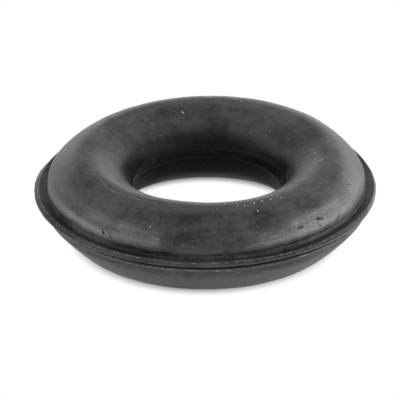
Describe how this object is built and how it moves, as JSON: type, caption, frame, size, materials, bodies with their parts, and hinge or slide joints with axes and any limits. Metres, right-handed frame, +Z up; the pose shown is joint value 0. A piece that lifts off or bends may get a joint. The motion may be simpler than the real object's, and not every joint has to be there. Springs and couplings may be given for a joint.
{
  "type": "exhaust mount",
  "caption": "Round black rubber hanger ring for an exhaust, with a moulded flange around its outside and a low land around its bore.",
  "frame": {"origin": "centre of the ring's resting circle, at the bottom of the ring's box", "axes": "+Z up along the ring's axis, from the face it rests on to the opposite crown"},
  "size_m": [0.0666, 0.0666, 0.0171],
  "materials": {
    "black_rubber": "dull moulded rubber with a faint grey bloom"
  },
  "bodies": {
    "root": {"rubber_ring": "black_rubber"}
  },
  "joints": []
}
